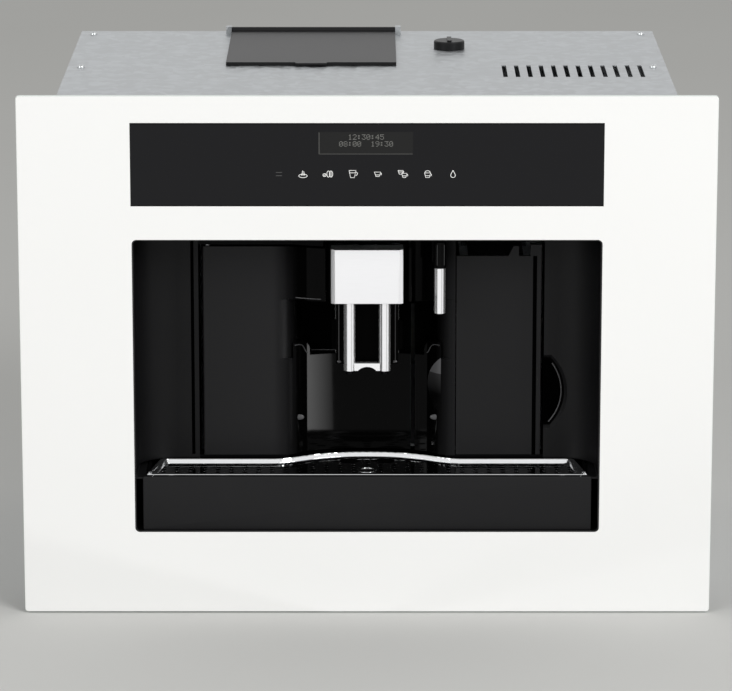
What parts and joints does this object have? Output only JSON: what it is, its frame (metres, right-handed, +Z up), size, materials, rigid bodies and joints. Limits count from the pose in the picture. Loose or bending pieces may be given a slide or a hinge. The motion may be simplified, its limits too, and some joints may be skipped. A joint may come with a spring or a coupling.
{
  "type": "built-in coffee machine",
  "caption": "Built-in bean-to-cup coffee machine with glass front, sliding spout, hinged service door, drip tray, pull-out water tank and grinder, on telescopic runners.",
  "frame": {"origin": "middle of the footprint on the niche floor, midway between the glass front and the back panel", "axes": "+X to the right seen from the front, +Y to the back, +Z up; the glass front faces -Y"},
  "size_m": [0.595, 0.4, 0.456],
  "materials": {
    "white_glass": "back-enamelled white glass",
    "black_glass": "glossy black display window",
    "gloss_black": "polished moulded black",
    "satin_black": "satin moulded black",
    "carrier_grey": "moulded, fine texture",
    "chrome": "polished chrome plate",
    "zinc_steel": "zinc-coated sheet",
    "rail_steel": "zinc-plated roll-formed steel",
    "aluminium": "die-cast aluminium",
    "clear_tank": "smoked transparent plastic",
    "white_plastic": "moulded natural white",
    "grey_plastic": "moulded grey",
    "hose": "translucent silicone",
    "brass": "turned",
    "board_green": "circuit board",
    "signal_red": "moulded red",
    "steel": "turned steel"
  },
  "bodies": {
    "cabinet_runners": {"rail_outer_left": "rail_steel", "rail_outer_right": "rail_steel"},
    "runner_middle": {"rails_middle": "rail_steel"},
    "machine": {"rails_inner": "rail_steel", "base_pan": "zinc_steel", "side_panel_left": "zinc_steel", "side_panel_right": "zinc_steel", "back_panel": "zinc_steel", "top_cover": "zinc_steel", "inner_shelf": "zinc_steel", "front_frame": "carrier_grey", "front_glass": "white_glass", "control_window": "black_glass", "display_board": "board_green", "bay_liner_left": "gloss_black", "bay_liner_right": "gloss_black", "bay_ceiling": "satin_black", "bay_column": "gloss_black", "tray_bay": "satin_black", "hinge_pins": "steel", "hot_water_socket": "satin_black", "tank_dock": "grey_plastic", "brew_frame": "grey_plastic", "upper_piston": "white_plastic", "gear_motor": "steel", "brew_chute": "grey_plastic", "thermoblock": "aluminium", "pump": "brass", "hose_supply": "hose", "hose_pressure": "hose", "hose_brew": "hose", "grinder_body": "grey_plastic", "grinder_motor": "steel", "bean_hopper": "clear_tank", "hopper_funnel": "clear_tank", "power_board": "board_green", "mains_inlet": "satin_black"},
    "service_door": {"service_door": "gloss_black", "door_back": "satin_black", "spout_guide_rods": "chrome"},
    "coffee_spout": {"spout_cover": "chrome", "spout_carriage": "satin_black", "spout_tubes": "chrome"},
    "hot_water_spout": {"hot_water_spout": "chrome"},
    "drip_tray": {"drip_tray": "satin_black", "tray_front": "gloss_black", "grounds_bin": "satin_black"},
    "cup_grille": {"cup_grille": "chrome"},
    "tray_float": {"tray_float": "satin_black"},
    "water_tank": {"water_tank": "clear_tank", "tank_front": "gloss_black"},
    "tank_lid": {"tank_lid": "satin_black"},
    "lead_screw": {"lead_screw": "steel"},
    "brew_chamber": {"brew_chamber": "white_plastic"},
    "motor_pinion": {"motor_pinion": "white_plastic"},
    "release_button": {"release_button": "signal_red"},
    "lower_burr": {"lower_burr": "steel"},
    "grind_knob": {"grind_knob": "satin_black"},
    "hopper_lid": {"hopper_lid": "satin_black"},
    "power_switch": {"power_switch": "satin_black"}
  },
  "joints": [
    {"name": "machine_slide", "type": "slide", "parent": "cabinet_runners", "child": "machine", "axis": [0, -1, 0], "range_m": [0, 0.3]},
    {"name": "runner_slide", "type": "slide", "parent": "cabinet_runners", "child": "runner_middle", "axis": [0, -1, 0], "range_m": [0, 0.15]},
    {"name": "door_hinge", "type": "hinge", "parent": "machine", "child": "service_door", "pos_m": [-0.1385, -0.133, 0.22], "axis": [0, 0, -1], "range_deg": [0, 90]},
    {"name": "spout_slide", "type": "slide", "parent": "service_door", "child": "coffee_spout", "axis": [0, 0, 1], "range_m": [0, 0.06]},
    {"name": "hot_spout_pull", "type": "slide", "parent": "machine", "child": "hot_water_spout", "axis": [0, -1, 0], "range_m": [0, 0.04]},
    {"name": "tray_slide", "type": "slide", "parent": "machine", "child": "drip_tray", "axis": [0, -1, 0], "range_m": [0, 0.2]},
    {"name": "grille_lift", "type": "slide", "parent": "drip_tray", "child": "cup_grille", "axis": [0, -0.866, 0.5], "range_m": [0, 0.06]},
    {"name": "float_rise", "type": "slide", "parent": "drip_tray", "child": "tray_float", "axis": [0, 0, 1], "range_m": [0, 0.008]},
    {"name": "tank_slide", "type": "slide", "parent": "machine", "child": "water_tank", "axis": [0, -1, 0], "range_m": [0, 0.25]},
    {"name": "tank_lid_hinge", "type": "hinge", "parent": "water_tank", "child": "tank_lid", "pos_m": [0.1122, -0.042, 0.3045], "axis": [-1, 0, 0], "range_deg": [0, 60]},
    {"name": "screw_spin", "type": "hinge", "parent": "machine", "child": "lead_screw", "pos_m": [-0.005, -0.035, 0.216], "axis": [0, 0, 1], "range_deg": [0, 3600]},
    {"name": "chamber_lift", "type": "slide", "parent": "machine", "child": "brew_chamber", "axis": [0, 0, 1], "range_m": [0, 0.0601]},
    {"name": "pinion_spin", "type": "hinge", "parent": "machine", "child": "motor_pinion", "pos_m": [-0.005, -0.009, 0.151], "axis": [0, 0, 1], "range_deg": [-12001, 1]},
    {"name": "button_press", "type": "slide", "parent": "machine", "child": "release_button", "axis": [-1, 0, 0], "range_m": [0, 0.004], "stiffness_N_per_m": 800, "springref_m": -0.001},
    {"name": "burr_spin", "type": "hinge", "parent": "machine", "child": "lower_burr", "pos_m": [-0.05, 0.095, 0.316], "axis": [0, 0, 1], "continuous": true},
    {"name": "knob_turn", "type": "hinge", "parent": "machine", "child": "grind_knob", "pos_m": [0.075, 0.1, 0.451], "axis": [0, 0, 1], "range_deg": [0, 270]},
    {"name": "hopper_lid_hinge", "type": "hinge", "parent": "machine", "child": "hopper_lid", "pos_m": [-0.05, 0.181, 0.4497], "axis": [-1, 0, 0], "range_deg": [0, 80]},
    {"name": "switch_rock", "type": "hinge", "parent": "machine", "child": "power_switch", "pos_m": [-0.165, 0.1905, 0.047], "axis": [1, 0, 0], "range_deg": [0, 16]}
  ],
  "couplings": [
    {"joint": "runner_slide", "follows": "machine_slide", "ratio": 0.5},
    {"joint": "chamber_lift", "follows": "screw_spin", "m_per_rad": 0.00095493},
    {"joint": "pinion_spin", "follows": "screw_spin", "ratio": -3.3333}
  ]
}
